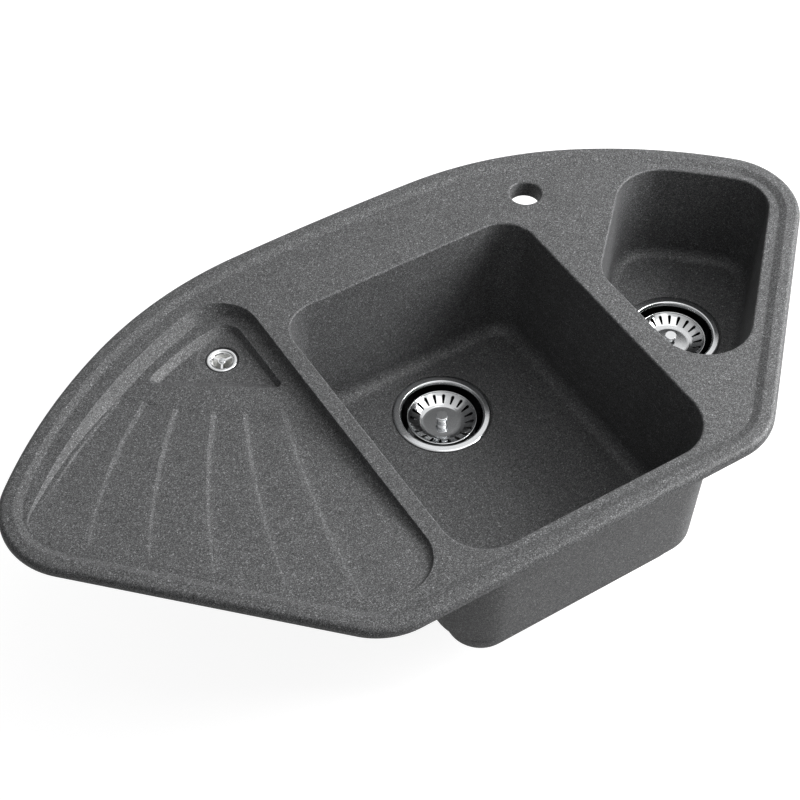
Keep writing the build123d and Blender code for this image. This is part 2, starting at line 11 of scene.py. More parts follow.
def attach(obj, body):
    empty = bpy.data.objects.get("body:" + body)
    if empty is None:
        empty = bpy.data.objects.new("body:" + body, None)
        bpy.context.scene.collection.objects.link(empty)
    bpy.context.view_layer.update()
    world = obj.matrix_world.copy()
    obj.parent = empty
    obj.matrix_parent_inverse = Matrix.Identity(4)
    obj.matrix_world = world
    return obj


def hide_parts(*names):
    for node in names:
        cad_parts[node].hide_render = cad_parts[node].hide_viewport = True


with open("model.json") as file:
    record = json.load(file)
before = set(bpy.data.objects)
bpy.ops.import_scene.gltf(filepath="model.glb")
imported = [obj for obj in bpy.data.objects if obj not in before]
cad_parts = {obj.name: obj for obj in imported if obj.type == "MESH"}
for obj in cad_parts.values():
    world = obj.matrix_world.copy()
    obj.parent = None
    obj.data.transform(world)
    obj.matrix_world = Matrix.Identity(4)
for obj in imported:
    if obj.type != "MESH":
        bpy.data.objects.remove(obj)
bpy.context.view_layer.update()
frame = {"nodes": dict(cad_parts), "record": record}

scene = bpy.context.scene
scene.view_settings.view_transform = "Standard"

# Sizes are in millimetres, in the frame's own axes, and become metres when a mesh is made.
MM = 0.001

# === Levels and outlines of the casting ===
FRONT_Y, BACK_Y = -8.0, 502.0
RIM_TOP, DECK, DECK_UNDER = 10.0, 6.5, -3.0
SEAT_INSET = 16.0
DRAFT = math.tan(math.radians(2.5))
WALL, SHARED_WALL = 8.5, 16.5  # of the bowls, and of the main bowl towards the small one
BASE = 8.0  # thickness of the bowls' floors
MAIN_LEFT, MAIN_RIGHT, MAIN_FRONT, MAIN_BACK = -116.0, 185.0, 25.0, 395.0
FOOT_LEFT, FOOT_RIGHT, FOOT_FRONT, FOOT_BACK = -111.0, 166.0, 23.9, 392.0  # pad under the main bowl
LEDGE_LEFT, LEDGE_FALL = -153.0, 10.5  # level over the pad on the left, and how far it falls rightwards
WALL_TOP = -18.0  # the bowls' outer walls are straight from here down
MAIN_FLOOR, SMALL_FLOOR = -157.5, -120.0
MAIN_FILLET, SMALL_FILLET, BOWL_LIP = 16.0, 14.0, 2.5
MAIN_DRAIN, SMALL_DRAIN = (38.5, 308.0), (309.0, 244.5)
BOWLS = (("main", MAIN_DRAIN, MAIN_FLOOR), ("small", SMALL_DRAIN, SMALL_FLOOR))
TRAY_DRAIN, POCKET_FLOOR = (-184.0, 394.5), -17.5
BASKET_SEAT = (57.0, 2.0, 47.5)  # radius and depth of a basket waste's seat, radius of its hole
GRATE_SEAT = (18.0, 2.5, 12.5)  # the same for the drainer's waste
TAP_HOLE, TAP_RADIUS = (216.5, 417.0), 17.5
TAP_BOSS_RADIUS, TAP_BOSS_BOTTOM = 27.0, -14.0
TRAY_DIAGONAL, TRAY_SLOPE, TRAY_DEPTH = -186.6, 0.075, 15.0
TRAY_SHELL, POCKET_SHELL = WALL + 2.0, 5.0  # how far the shells stand out beyond the drainer's edges
CLIPS = [(-20.0, 478.0), (-252.0, 444.1), (-389.6, 360.7), (-277.4, 93.6),
         (-165.0, 24.0), (266.6, 74.4), (319.2, 413.1), (149.5, 473.3)]


# === Outlines ===
def unit(angle):
    """Unit vectors at angles in radians."""
    return np.stack([np.cos(angle), np.sin(angle)], -1)


def full_turn(count, offset=0.0):
    """Unit vectors at even steps round a full turn, offset by a share of a step."""
    return unit((np.arange(count) + offset) * 2 * math.pi / count)


def raised(plan, height):
    """Plan points set at one height, or at one for each."""
    return np.column_stack([plan, np.broadcast_to(height, len(plan))])


class Outline:
    """A closed outline run anticlockwise: plan points, and at each the unit normal that points into it."""

    def __init__(self, points, inward):
        self.points, self.inward = points, inward

    def moved(self, distance):
        """Its plan points moved inward by one distance, or by one for each."""
        return self.points + self.inward * np.reshape(distance, (-1, 1))

    def inset(self, distance, height):
        """The outline moved inward by a distance and set at a height."""
        return raised(self.moved(distance), height)

    def sweep(self, profile):
        """Rows of points for a profile of (inset, height) pairs carried along the outline."""
        return np.stack([self.inset(across, up) for across, up in profile])


class Plan:
    """A convex outline of straight edges and circles with rounded corners, named anticlockwise.

    An edge (angle, offset) holds the points whose distance along the inward normal at that angle is over
    the offset; an edge (x, y, radius) holds the points inside that circle. corners gives the radius that
    rounds each edge into the next."""

    def __init__(self, edges, corners):
        self.edges, self.corners = edges, corners
        after = edges[1:] + edges[:1]
        self.centres = [self.corner(a, b, r) for a, b, r in zip(edges, after, corners)]
        self.starts = [self.outward(edge, c) for edge, c in zip(edges, self.centres)]
        self.ends = [self.outward(edge, c) for edge, c in zip(after, self.centres)]

    @staticmethod
    def corner(first, second, radius):
        """Centre of the arc that rounds two edges, a radius inside both of them."""
        if len(first) == len(second) == 2:
            normals = unit(np.radians([first[0], second[0]]))
            return np.linalg.solve(normals, [first[1] + radius, second[1] + radius])
        line, circle = (first, second) if len(first) == 2 else (second, first)
        normal, middle = unit(math.radians(line[0])), np.array(circle[:2])
        reach = line[1] + radius - normal @ middle
        along = math.sqrt((circle[2] - radius) ** 2 - reach**2) * (1 if line is first else -1)
        return middle + normal * reach + np.array([normal[1], -normal[0]]) * along

    @staticmethod
    def outward(edge, point):
        """Outward unit normal of an edge at the foot of a point inside it."""
        if len(edge) == 2:
            return -unit(math.radians(edge[0]))
        away = point - np.array(edge[:2])
        return away / np.linalg.norm(away)

    def inside(self, points):
        """Distance inside the rounded outline, and the unit direction that leads further in."""
        distance, toward = np.full(len(points), np.inf), np.zeros((len(points), 2))
        for edge in self.edges:
            if len(edge) == 2:
                normal = unit(math.radians(edge[0]))
                found, way = points @ normal - edge[1], normal
            else:
                away = np.array(edge[:2]) - points
                length = np.linalg.norm(away, axis=1)
                found, way = edge[2] - length, away / length[:, None]
            nearer = found < distance
            distance = np.where(nearer, found, distance)
            toward = np.where(nearer[:, None], way, toward)
        for centre, radius, start, end in zip(self.centres, self.corners, self.starts, self.ends):
            away = points - centre
            length = np.maximum(np.linalg.norm(away, axis=1), 1e-9)
            wedge = start[0] * away[:, 1] > start[1] * away[:, 0]
            wedge &= away[:, 0] * end[1] > away[:, 1] * end[0]
            wedge &= away @ (start + end) > 0
            distance = np.where(wedge, radius - length, distance)
            toward = np.where(wedge[:, None], -away / length[:, None], toward)
        return distance, toward

    def outline(self, on_edge, on_corner):
        """The outline with a fixed number of samples on each edge and on each corner."""
        points, inward = [], []
        for i, edge in enumerate(self.edges):
            start, end = self.ends[i - 1], self.starts[i]
            share = np.arange(on_edge) / on_edge
            if len(edge) == 2:
                first = self.centres[i - 1] + self.corners[i - 1] * start
                last = self.centres[i] + self.corners[i] * end
                points.append(first + share[:, None] * (last - first))
                inward.append(np.broadcast_to(-start, (on_edge, 2)))
            else:
                ray = unit(turn_between(start, end, share))
                points.append(np.array(edge[:2]) + edge[2] * ray)
                inward.append(-ray)
            share = np.arange(on_corner) / on_corner
            ray = unit(turn_between(self.starts[i], self.ends[i], share))
            points.append(self.centres[i] + self.corners[i] * ray)
            inward.append(-ray)
        return Outline(np.concatenate(points), np.concatenate(inward))


def side(first, last):
    """The edge of a plan along a straight line between two points, its inside on the left."""
    way = np.subtract(last, first)
    angle = math.atan2(way[0], -way[1])
    return math.degrees(angle), float(unit(angle) @ first)


def bulge(first, last, radius):
    """The edge of a plan along an arc between two points, its centre on the left."""
    way = np.subtract(last, first)
    half = np.linalg.norm(way) / 2
    left = np.array([-way[1], way[0]]) / (2 * half)
    middle = np.add(first, last) / 2 + left * math.sqrt(radius**2 - half**2)
    return middle[0], middle[1], radius


def turn_between(start, end, share):
    """Angles at shares of the anticlockwise turn from one direction to another."""
    first = math.atan2(start[1], start[0])
    turn = (math.atan2(end[1], end[0]) - first) % (2 * math.pi)
    return first + turn * share


def rim_outline():
    """The sink's outer edge: right-hand turns of (radius, degrees) and straights of (length, 0), walked
    from the middle of the back to the middle of the front, then the same mirrored."""
    round_back = [(3600.0, 1.8), (435.0, 25.8), (593.0, 18.4), (83.0, 89.0)]
    front_corner, turn = 80.0, 45.0
    longest_step, widest_turn = 8.0, 2.5
    place, heading = np.array([0.0, BACK_Y]), 0.0
    points, inward = [], []

    def walk(size, degrees):
        nonlocal place, heading
        length = math.radians(degrees) * size if degrees else size
        steps = math.ceil(max(length / longest_step, degrees / widest_turn))
        share = np.arange(steps + 1) / steps
        angle = heading - math.radians(degrees) * share
        right = np.stack([np.sin(angle), -np.cos(angle)], -1)
        if degrees:
            path = place + size * right[0] - size * right
        else:
            path = place + share[:, None] * size * unit(heading)
        points.append(path[:-1])
        inward.append(right[:-1])
        place, heading = path[-1], angle[-1]

    for size, degrees in round_back:
        walk(size, degrees)
    rise = front_corner * math.tan(math.radians(turn / 2)) * math.sin(math.radians(turn))
    walk((place[1] - FRONT_Y - rise) * math.sqrt(2), 0)
    walk(front_corner, turn)
    walk(place[0], 0)
    flip = np.array([-1.0, 1.0])

    def both_halves(half):
        return np.concatenate([half[:0:-1], half[:-1] * flip])

    half, normals = np.concatenate(points + [place[None]]), np.concatenate(inward + [[[0.0, 1.0]]])
    return Outline(both_halves(half), both_halves(normals))


def circle(centre, radius, samples, height):
    """A level ring of points."""
    return raised(centre + radius * full_turn(samples), height)


def rounded(corners, degrees, guard=0.4):
    """A profile through (across, up, radius) corners, each replaced by an arc that touches both its sides.

    The arc has a point at least every so many degrees. A guard point stands a little off each of its ends,
    so that flat stretches are shaded flat."""
    line = [np.array(corners[0][:2], float)]
    for before, here, after in zip(corners, corners[1:], corners[2:]):
        corner = np.array(here[:2], float)
        if here[2] == 0:
            line.append(corner)
            continue
        back, on = np.array(before[:2]) - corner, np.array(after[:2]) - corner
        room = min(np.linalg.norm(back), np.linalg.norm(on))
        back, on = back / np.linalg.norm(back), on / np.linalg.norm(on)
        half = math.acos(np.clip(back @ on, -1, 1)) / 2
        touch = min(here[2] / math.tan(half), 0.98 * room)
        radius = touch * math.tan(half)
        centre = corner + (back + on) / np.linalg.norm(back + on) * radius / math.sin(half)
        first, last = corner + back * touch - centre, corner + on * touch - centre
        turn = math.atan2(first[0] * last[1] - first[1] * last[0], first @ last)
        steps = max(2, math.ceil(abs(math.degrees(turn)) / degrees))
        angle = math.atan2(first[1], first[0]) + turn * np.linspace(0, 1, steps + 1)
        arc = centre + radius * unit(angle)
        if touch + guard < 0.5 * room or touch + guard < 0.9 * np.linalg.norm(line[-1] - corner):
            line.append(corner + back * (touch + guard))
        line.extend(arc)
        if touch + guard < 0.5 * room:
            line.append(corner + on * (touch + guard))
    line.append(np.array(corners[-1][:2], float))
    return line


def enclosed(points, loops):
    """Which points lie between closed loops: a ray from them crosses the loops an odd number of times."""
    odd = np.zeros(len(points), bool)
    for loop in loops:
        a, b = loop[:, :2], np.roll(loop[:, :2], -1, 0)
        straddle = (a[:, 1] > points[:, 1:2]) != (b[:, 1] > points[:, 1:2])
        rise = np.where(a[:, 1] == b[:, 1], 1.0, b[:, 1] - a[:, 1])
        crossing = a[:, 0] + (points[:, 1:2] - a[:, 1]) / rise * (b[:, 0] - a[:, 0])
        odd ^= (straddle & (crossing > points[:, :1])).sum(1) % 2 == 1
    return odd


# === Meshes ===
def closed_piece(name, data, sharp):
    """An object of a mesh whose coinciding points are merged and whose faces point outwards.

    It is shaded smooth, but for edges sharper than an angle in degrees."""
    work = bmesh.new()
    work.from_mesh(data)
    bmesh.ops.remove_doubles(work, verts=work.verts, dist=1e-6)
    bmesh.ops.recalc_face_normals(work, faces=work.faces)
    work.to_mesh(data)
    work.free()
    data.polygons.foreach_set("use_smooth", np.ones(len(data.polygons), bool))
    data.set_sharp_from_angle(angle=math.radians(sharp))
    piece = bpy.data.objects.new(name, data)
    scene.collection.objects.link(piece)
    return piece


class Skin:
    """Surfaces of one piece, gathered in millimetres and joined where their edges coincide."""

    def __init__(self):
        self.points, self.faces, self.count = [], [], 0

    def add(self, points, faces):
        self.points.append(points)
        self.faces += (faces + self.count).tolist()
        self.count += len(points)

    def sweep(self, rows):
        """Quads between closed rows, indexed by row, sample and coordinate, which it returns."""
        number, samples = rows.shape[:2]
        row, here = np.meshgrid(np.arange(number - 1) * samples, np.arange(samples), indexing="ij")
        corner, beside = row + here, row + (here + 1) % samples
        faces = np.stack([corner, beside, beside + samples, corner + samples], -1)
        self.add(rows.reshape(-1, 3), faces.reshape(-1, 4))
        return rows

    def cap(self, ring, centre):
        """A level fan from a closed ring to its centre."""
        here = np.arange(len(ring))
        faces = np.stack([here, (here + 1) % len(ring), np.full(len(ring), len(ring))], -1)
        self.add(np.vstack([ring, [*centre, ring[0, 2]]]), faces)

    def fill(self, loops, points=None):
        """Delaunay triangles between closed loops, through extra points.

        All is rounded to single precision first, as the triangulation is, so that both agree on slivers."""
        inner = points if points is not None else np.empty((0, 3))
        loops = [np.float32(loop).astype(float) for loop in loops]
        every = np.concatenate(loops + [np.float32(inner).astype(float)])
        starts = np.cumsum([0] + [len(loop) for loop in loops])
        edges = [(s + i, s + (i + 1) % n) for s, n in zip(starts, map(len, loops)) for i in range(n)]
        found = delaunay_2d_cdt([Vector(p) for p in every[:, :2]], edges, [], 0, 1e-5, True)
        source = np.array([ids[0] for ids in found[3]])
        triangles = source[np.array(found[2])]
        self.add(every, triangles[enclosed(every[triangles, :2].mean(1), loops)])

    def mesh(self, name, sharp=40.0):
        """One object of all the surfaces."""
        data = bpy.data.meshes.new(name)
        data.from_pydata(np.concatenate(self.points) * MM, [], self.faces)
        return closed_piece(name, data, sharp)


def ease(value, low, high, width):
    """A value held between two limits, with the corner at each limit rounded over a width to each side."""
    def above(v, limit):
        curve = limit + (v - limit + width) ** 2 / (4 * width)
        return np.where(np.abs(v - limit) < width, curve, np.maximum(v, limit))

    return -above(-above(value, low), -high)


def smooth(share):
    """The curve that leaves 0 and reaches 1 level."""
    return share**2 * (3 - 2 * share)


# === The casting ===
def upright_box(left, front, right, back, corners):
    """An outline of four sides square to the axes, its corners rounded from the front right one round."""
    return Plan([(90.0, front), (180.0, -right), (270.0, -back), (0.0, left)], corners).outline(12, 16)


rim = rim_outline()
root2 = math.sqrt(2)
tray_plan = Plan([(45.0, TRAY_DIAGONAL / root2), (90.0, 28.0), (180.0, 134.5), (-8.1, -129.0, 609.3)],
                 [60.0, 45.0, 45.0, 30.0])
POCKET = [(-150.0, 317.0), (-151.5, 434.0), (-272.0, 399.5)]
pocket_plan = Plan([side(POCKET[0], POCKET[1]), bulge(POCKET[1], POCKET[2], 320.0),
                    side(POCKET[2], POCKET[0])], [18.0, 8.0, 6.0])
tray_edge = tray_plan.outline(60, 16)
pocket_edge = pocket_plan.outline(16, 8)
small_edge = Plan([(0.0, 215.0), (135.0, -180.5 / root2), (29.0, -69.0, 554.0), (-45.0, -57.0 / root2)],
                  [52.0, 43.0, 55.0, 40.0]).outline(14, 14)
main_edge = upright_box(MAIN_LEFT, MAIN_FRONT, MAIN_RIGHT, MAIN_BACK, [48.0, 38.0, 38.0, 48.0])
outside_edge = upright_box(
    MAIN_LEFT - WALL, MAIN_FRONT - WALL, MAIN_RIGHT + SHARED_WALL, MAIN_BACK + WALL,
    [56.5, 46.5, 46.5, 56.5])
foot_edge = upright_box(FOOT_LEFT, FOOT_FRONT, FOOT_RIGHT, FOOT_BACK, [36.0] * 4)

# The walls of the drainer and of its pocket: at each direction that they face, in degrees, how far they
# lean over their whole height and how they are rounded at their foot.
TRAY_WALL = ([-180.0, -100.0, -20.0, 45.0, 90.0, 180.0],
             [2.2, 8.0, 8.0, 8.0, 2.2, 2.2],
             [10.0, 1.2, 1.2, 2.0, 8.0, 10.0])
POCKET_WALL = ([-180.0, -150.0, -110.0, -20.0, 20.0, 90.0, 150.0, 180.0],
               [4.2, 4.2, 8.1, 8.1, 12.9, 12.9, 4.2, 4.2],
               [2.0, 2.0, 1.5, 1.5, 9.0, 9.0, 2.0, 2.0])
LAND_RADIUS, LAND_STEP = 24.0, 0.9  # the drain's level land, and the step up from it to the pocket's floor

# The drainer's flutes: each line is given by its end by the drain, its middle and its far end. The first
# one is the foot of the back wall and the last one is where the flutes run out beside the right wall. A
# step falls to the right of each line. Depths and steps are given at the same places.
FLUTES = np.array([
    ((-300.0, 395.2), (-378.0, 343.4), (-430.0, 297.7)),
    ((-280.7, 380.4), (-354.0, 311.0), (-412.0, 233.0)),
    ((-257.4, 357.2), (-318.5, 277.0), (-370.0, 189.0)),
    ((-227.0, 332.9), (-281.0, 242.0), (-325.0, 145.0)),
    ((-201.8, 314.7), (-244.0, 208.0), (-275.0, 96.0)),
    ((-166.4, 301.5), (-200.0, 175.0), (-222.0, 43.0)),
    ((-149.0, 283.0), (-150.5, 132.0), (-180.0, 48.0)),
])
FLUTE_DEPTHS, FLUTE_STEPS = np.array([2.4, 1.9, 0.8]), np.array([4.6, 3.4, 1.6])
FIRST_DEPTHS, FIRST_STEPS = np.array([1.6, 1.2, 0.3]), np.array([1.9, 1.6, 1.2])
FLUTE_ENDS = 0.035, 0.022  # shares of its length over which a flute dies away at its two ends
TRAY_LIP, POCKET_LIP = 0.9, 0.6


def tray_ramp(points):
    """How far down the drainer's ramp would be at plan points, if it had no ends."""
    return (points[:, 0] + points[:, 1] - TRAY_DIAGONAL) / root2 * TRAY_SLOPE


def tray_fall(points):
    """How far the drainer's floor lies below the deck: a ramp along the diagonal, eased at both ends."""
    return ease(tray_ramp(points), 0.0, TRAY_DEPTH, 0.35)


def wall_arcs(fall, lean, foot, lip):
    """The arcs of a wall that falls from a flat edge, as radii and as distances inside that edge.

    The wall is a straight line at the angle whose tangent is 1 / lean, with an arc of radius foot that
    touches the line and the floor, and a smaller arc that touches the line and the flat above. Returns the
    angle, both radii, cut down where the wall is low, and the distances of both arcs' middles."""
    angle = np.arctan2(1.0, lean)
    limit = 0.8 * fall / np.maximum(np.sin(angle) * np.tan(angle / 2), 1e-6)
    foot, lip = np.minimum(foot, limit), np.minimum(lip, 0.2 * limit)
    return angle, foot, lip, (foot / np.cos(angle) + fall - foot) * lean, -lip * np.tan(angle / 2)


def wall_height(inside, fall, lean, foot, lip):
    """Height of such a wall above its foot, by the distance inside its edge."""
    angle, foot, lip, foot_middle, lip_middle = wall_arcs(fall, lean, foot, lip)
    straight = fall - inside / lean
    hollow = foot - np.sqrt(np.maximum(foot**2 - (inside - foot_middle) ** 2, 0))
    crest = fall - lip + np.sqrt(np.maximum(lip**2 - (inside - lip_middle) ** 2, 0))
    height = np.where(inside > foot_middle - foot * np.sin(angle), hollow, straight)
    height = np.where(inside < lip_middle + lip * np.sin(angle), crest, height)
    return np.where(inside > foot_middle, 0.0, np.where(inside < lip_middle, fall, height))


def lean_and_foot(toward, wall):
    """How far a wall leans and how its foot is rounded, by the direction that it faces."""
    facing = np.degrees(np.arctan2(toward[:, 1], toward[:, 0]))
    return [np.interp(facing, wall[0], values) for values in wall[1:]]


def tray_height(points):
    """Height of the deck, of the drainer's walls and floor and of its pocket, before the flutes."""
    inside, toward = tray_plan.inside(points)
    fall = tray_fall(points)
    lean, foot = lean_and_foot(toward, TRAY_WALL)
    height = DECK - fall + wall_height(inside, fall, lean / TRAY_DEPTH, foot, TRAY_LIP)
    inside, toward = pocket_plan.inside(points)
    land = np.clip((np.hypot(*(points - TRAY_DRAIN).T) - LAND_RADIUS) / 3.0, 0, 1)
    sunk = np.full(len(points), DECK - TRAY_DEPTH - POCKET_FLOOR)
    lean, foot = lean_and_foot(toward, POCKET_WALL)
    wall = wall_height(inside, sunk, lean / sunk, foot, POCKET_LIP)
    return height - sunk + np.maximum(wall, LAND_STEP * smooth(land))


def on_tray(plan, sunk=0.0):
    """Plan points set on the deck or in the drainer, or a depth below its floor."""
    return raised(plan, tray_height(plan) - sunk)


def grid(step):
    """Plan points all over the sink, every other row shifted by half a step."""
    x, y = np.meshgrid(np.arange(-470, 470, step), np.arange(0, 500, step * 0.87))
    x = x + (np.arange(len(x)) % 2 * step / 2)[:, None]
    return np.column_stack([x.ravel(), y.ravel()])


def clear_of(points, others, gap):
    """The points that keep a gap from all the others, compared in blocks."""
    keep = np.ones(len(points), bool)
    for block in np.array_split(others[:, :2], max(1, len(others) // 800)):
        away = points[:, None, :2] - block[None]
        keep &= (away**2).sum(2).min(1) > gap**2
    return points[keep]


rim_profile = rounded([
    (SEAT_INSET, DECK_UNDER, 0), (SEAT_INSET, 0, 0.8), (6, 0, 0), (6, 1.5, 0), (2, 1.5, 0), (2, 0, 0),
    (0, 0, 0.7), (0, RIM_TOP, 6.4), (15.5, RIM_TOP, 5.0), (23.5, DECK, 5.0), (25.6, DECK, 0)], 8.0)


def rings_along(centre, samples, line):
    """Rows round an upright axis, one for each (radius, height) point of a line."""
    return np.stack([circle(centre, radius, samples, height) for radius, height in line])


def hole_rings(centre, samples, profile):
    """Rows round an upright hole, from a profile of (radius, height, rounding) corners."""
    return rings_along(centre, samples, rounded(profile, 20.0, 0.2))


def drain_rings(centre, samples, floor, seat, depth, hole):
    """Rows down a waste's seat and through its hole to the underside of the floor."""
    return hole_rings(centre, samples, [
        (seat + 1, floor, 0), (seat, floor, 0.5), (seat, floor - depth, 0),
        (hole, floor - depth, 0.3), (hole, floor - BASE, 0)])


def bowl(skin, edge, floor, drain, fillet):
    """A bowl's inside, down to its drain hole.

    Returns the edge that it shares with the deck, and the lower edge of its drain hole."""
    foot = (DECK - floor) * DRAFT
    profile = rounded([
        (-3.2, DECK, 0), (0, DECK, BOWL_LIP), (foot, floor, fillet), (foot + fillet + 1.5, floor, 0)], 6.0)
    rows = skin.sweep(edge.sweep(profile))
    rings = skin.sweep(drain_rings(drain, 96, floor, *BASKET_SEAT))
    skin.fill([rows[-1], rings[0]])
    return rows[0], rings[-1]


def under_height(points):
    """Height of the underside beyond the bowls: the deck's, or the drainer's or its pocket's below it."""
    hanging = np.clip(DECK - WALL - tray_ramp(points), DECK - TRAY_DEPTH - WALL, DECK_UNDER)
    below = np.where(tray_plan.inside(points)[0] > -TRAY_SHELL, hanging, DECK_UNDER)
    return np.where(pocket_plan.inside(points)[0] > -POCKET_SHELL, POCKET_FLOOR - BASE, below)


def drafted(height):
    """How far in a bowl's outer wall has come at a height."""
    return (DECK_UNDER + 1 - height) * DRAFT


def shell(skin, edge, bottom):
    """The outside of a bowl's wall, which starts at the underside of the deck or of the drainer.

    Each entry of bottom gives one more row, as (plan points, height), under the wall's straight part."""
    top = under_height(edge.points)
    rows = [edge.inset(drafted(top), top)]
    rows += [raised(plan, height) for plan, height in bottom]
    skin.sweep(np.stack(rows))
    return rows[0], rows[-1]


def main_bottom():
    """Rows under the main bowl: its wall ends on a foot pad, high on the left and dying away rightwards.

    On the right a quarter of an ellipse leads from the wall to the pad; elsewhere the ledge is narrow."""
    def wall(height):
        return outside_edge.moved(drafted(height))

    pad, pad_edge = MAIN_FLOOR - BASE, foot_edge.points
    gap = ((pad_edge - wall(-150.0)) * outside_edge.inward).sum(1)
    wide = smooth(np.clip((gap - 9) / 16, 0, 1))
    along = np.clip((pad_edge[:, 0] - FOOT_LEFT) / (FOOT_RIGHT - FOOT_LEFT), 0, 1)
    ledge = LEDGE_LEFT - LEDGE_FALL * along
    start = ledge + 1.5 + 23.0 * wide
    heights = [start * part + WALL_TOP * (1 - part) for part in (0, 0.4, 0.8, 0.98, 1)]
    rows = [(wall(height), height) for height in heights]
    for turn in np.radians([6, 18, 32, 46, 60, 73, 84, 90]):
        way = 0.97 * (1 - math.cos(turn))
        rows.append((wall(start) * (1 - way) + pad_edge * way, start + (ledge - start) * math.sin(turn)))
    undercut = 1.4 * (1 - wide)
    rows += [(foot_edge.moved(undercut), ledge - 0.5), (foot_edge.moved(0.4 * undercut), pad + 0.9)]
    return rows + [(foot_edge.moved(across), pad + up) for across, up in ((0.9, 0.3), (1.6, 0), (2.2, 0))]


def small_bottom(edge):
    """Rows under the small bowl: the wall and the rounding of its bottom edge."""
    bottom, rounding = SMALL_FLOOR - BASE, 20.0
    foot = drafted(bottom)
    line = rounded([
        (drafted(WALL_TOP), WALL_TOP, 0), (foot, bottom, rounding), (foot + rounding + 2, bottom, 0)], 8.0)
    return [(edge.moved(across), up) for across, up in line]


def boss(skin, x, y):
    """A closed round boss with a blind hole, rooted in the deck, for one clip's insert."""
    profile = [(6.0, -1.0, 0), (6.0, -26.0, 0.6), (4.0, -26.0, 0.3), (4.0, -16.0, 0)]
    rings = skin.sweep(hole_rings((x, y), 24, profile))
    skin.cap(rings[0], (x, y))
    skin.cap(rings[-1], (x, y))


def casting():
    """The whole sink body as one closed skin, and the bosses that hang from it."""
    skin = Skin()
    rim_rows = skin.sweep(rim.sweep(rim_profile))
    main_lip, main_hole = bowl(skin, main_edge, MAIN_FLOOR, MAIN_DRAIN, MAIN_FILLET)
    small_lip, small_hole = bowl(skin, small_edge, SMALL_FLOOR, SMALL_DRAIN, SMALL_FILLET)
    tap = skin.sweep(hole_rings(TAP_HOLE, 64, [
        (TAP_RADIUS + 4, DECK, 0), (TAP_RADIUS, DECK, 3.0), (TAP_RADIUS, TAP_BOSS_BOTTOM, 0.4),
        (TAP_BOSS_RADIUS, TAP_BOSS_BOTTOM, 1.5), (TAP_BOSS_RADIUS, DECK_UNDER, 0)]))
    drain = skin.sweep(drain_rings(TRAY_DRAIN, 64, POCKET_FLOOR, *GRATE_SEAT))

    loops = [rim_rows[-1], main_lip, small_lip, tap[0], drain[0]]
    flutes, fan = flute_rows()
    walls = np.concatenate([tray_rows(), pocket_rows()])
    walls = clear_of(walls[~enclosed(walls[:, :2], [fan])], np.concatenate([drain[0], flutes]), 0.4)
    walls = walls[np.hypot(*(walls[:, :2] - TRAY_DRAIN).T) > GRATE_SEAT[0] + 1.5]
    rows = np.concatenate([walls, flutes])
    background = grid(12.0)
    background = background[~enclosed(background, [fan])]
    background = clear_of(background, np.concatenate(loops + [rows]), 4.0)
    skin.fill(loops, np.concatenate([rows, on_tray(background)]))

    small_outside = Outline(small_edge.moved(-WALL), small_edge.inward)
    main_top, main_foot = shell(skin, outside_edge, main_bottom())
    small_top, small_foot = shell(skin, small_outside, small_bottom(small_outside))
    skin.fill([main_foot, main_hole])
    skin.fill([small_foot, small_hole])
    under = [edge.moved(step - out) for edge, out in
             ((tray_edge, TRAY_SHELL), (pocket_edge, POCKET_SHELL)) for step in (-0.2, 0.2)]
    under = np.concatenate(under + [rim.moved(SEAT_INSET + 0.3)])
    under = clear_of(under, np.concatenate([main_top, small_top, drain[-1]]), 1.0)
    loops = [rim_rows[0], main_top, small_top, tap[-1], drain[-1]]
    skin.fill(loops, raised(under, under_height(under)))
    for x, y in CLIPS:
        boss(skin, x, y)
    return skin


def tray_rows():
    """Points in rows along the drainer's edge, close together where its wall is rounded."""
    fall = tray_fall(tray_edge.points)
    deep = fall > 0.4
    edge, fall = Outline(tray_edge.points[deep], tray_edge.inward[deep]), fall[deep]
    lean, foot = lean_and_foot(edge.inward, TRAY_WALL)
    angle, foot, lip, foot_middle, lip_middle = wall_arcs(fall, lean / TRAY_DEPTH, foot, TRAY_LIP)
    inside = [lip_middle - 1.5, lip_middle - 0.4]
    inside += [lip_middle + lip * np.sin(angle) * share for share in (0, 0.3, 0.6, 0.85, 1)]
    inside += [foot_middle - foot * np.sin(angle) * share for share in (1, 0.85, 0.7, 0.5, 0.3, 0.15, 0)]
    inside += [foot_middle + 0.4, foot_middle + 2.0]
    return on_tray(np.concatenate([edge.moved(row) for row in inside]))


def pocket_rows():
    """Points in rows down the walls of the drainer's pocket and round its drain."""
    plan = [pocket_edge.moved(inside) for inside in (
        -1.5, -0.6, -0.2, 0.1, 0.5, 1.2, 2.4, 3.4, 4.4, 5.6, 7.0, 7.9, 8.6, 9.4, 10.5, 12.0, 14.0, 16.0)]
    plan += [TRAY_DRAIN + full_turn(48) * (LAND_RADIUS + out)
             for out in (-1.0, 0.0, 0.7, 1.5, 2.3, 3.0, 4.0)]
    return on_tray(np.concatenate(plan))


def through(values, share):
    """The parabola through three values, at shares of the way from the first to the last."""
    first, middle, last = values
    share = np.reshape(share, (-1,) + (1,) * np.ndim(first))
    ends = first * (1 - share) * (1 - 2 * share) + last * share * (2 * share - 1)
    return ends + middle * 4 * share * (1 - share)


